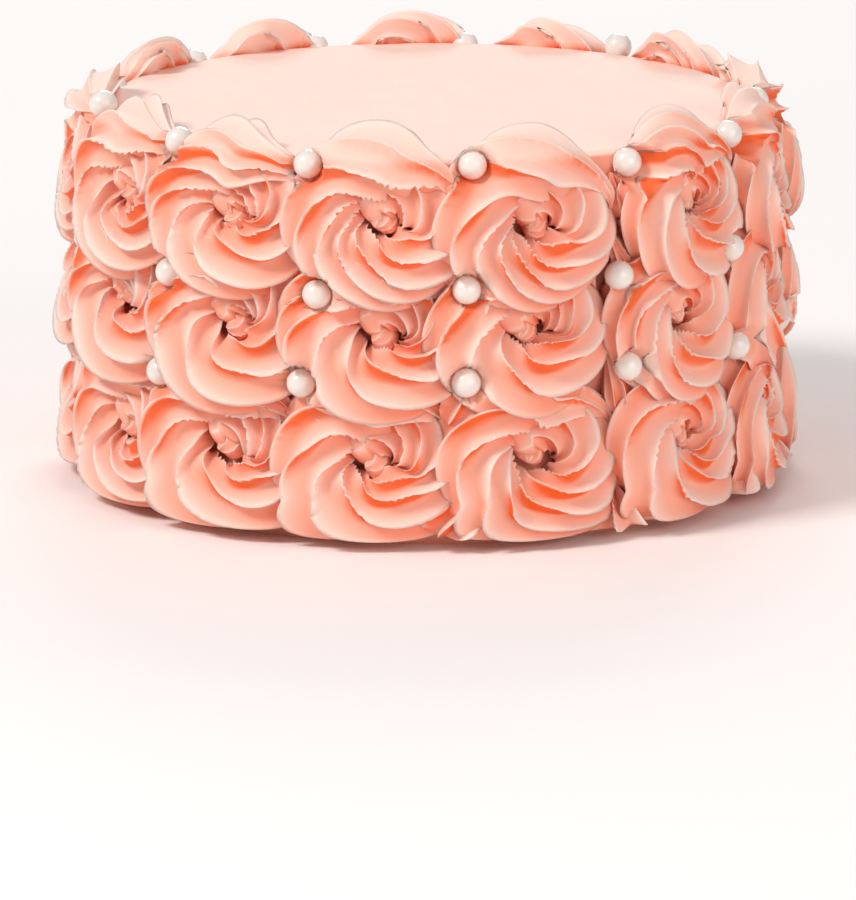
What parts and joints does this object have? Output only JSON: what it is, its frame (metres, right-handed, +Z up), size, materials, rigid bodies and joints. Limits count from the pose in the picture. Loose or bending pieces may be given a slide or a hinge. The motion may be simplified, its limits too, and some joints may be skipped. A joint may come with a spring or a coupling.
{
  "type": "rosette cake",
  "caption": "Round iced cake with a flat smooth top and a side covered by rows of swirled piped rosettes, with small sugar pearls pressed in between them.",
  "frame": {"origin": "centre of the cake's round base, on the surface it stands on", "axes": "+Z up along the cake's axis, -Y towards the side that the picture shows, +X to that view's right"},
  "size_m": [0.1829, 0.1821, 0.1008],
  "materials": {
    "icing": "soft satin peach-pink buttercream",
    "pearl": "pearly white sugar coating with a soft sheen"
  },
  "bodies": {
    "root": {"iced_cake": "icing", "pearl_low_01": "pearl", "pearl_low_02": "pearl", "pearl_low_03": "pearl", "pearl_low_04": "pearl", "pearl_low_05": "pearl", "pearl_low_06": "pearl", "pearl_low_07": "pearl", "pearl_low_08": "pearl", "pearl_low_09": "pearl", "pearl_low_10": "pearl", "pearl_low_11": "pearl", "pearl_low_12": "pearl", "pearl_low_13": "pearl", "pearl_mid_01": "pearl", "pearl_mid_02": "pearl", "pearl_mid_03": "pearl", "pearl_mid_04": "pearl", "pearl_mid_05": "pearl", "pearl_mid_06": "pearl", "pearl_mid_07": "pearl", "pearl_mid_08": "pearl", "pearl_mid_09": "pearl", "pearl_mid_10": "pearl", "pearl_mid_11": "pearl", "pearl_mid_12": "pearl", "pearl_mid_13": "pearl", "pearl_rim_01": "pearl", "pearl_rim_02": "pearl", "pearl_rim_03": "pearl", "pearl_rim_04": "pearl", "pearl_rim_05": "pearl", "pearl_rim_06": "pearl", "pearl_rim_07": "pearl", "pearl_rim_08": "pearl", "pearl_rim_09": "pearl", "pearl_rim_10": "pearl", "pearl_rim_11": "pearl", "pearl_rim_12": "pearl", "pearl_rim_13": "pearl"}
  },
  "joints": []
}
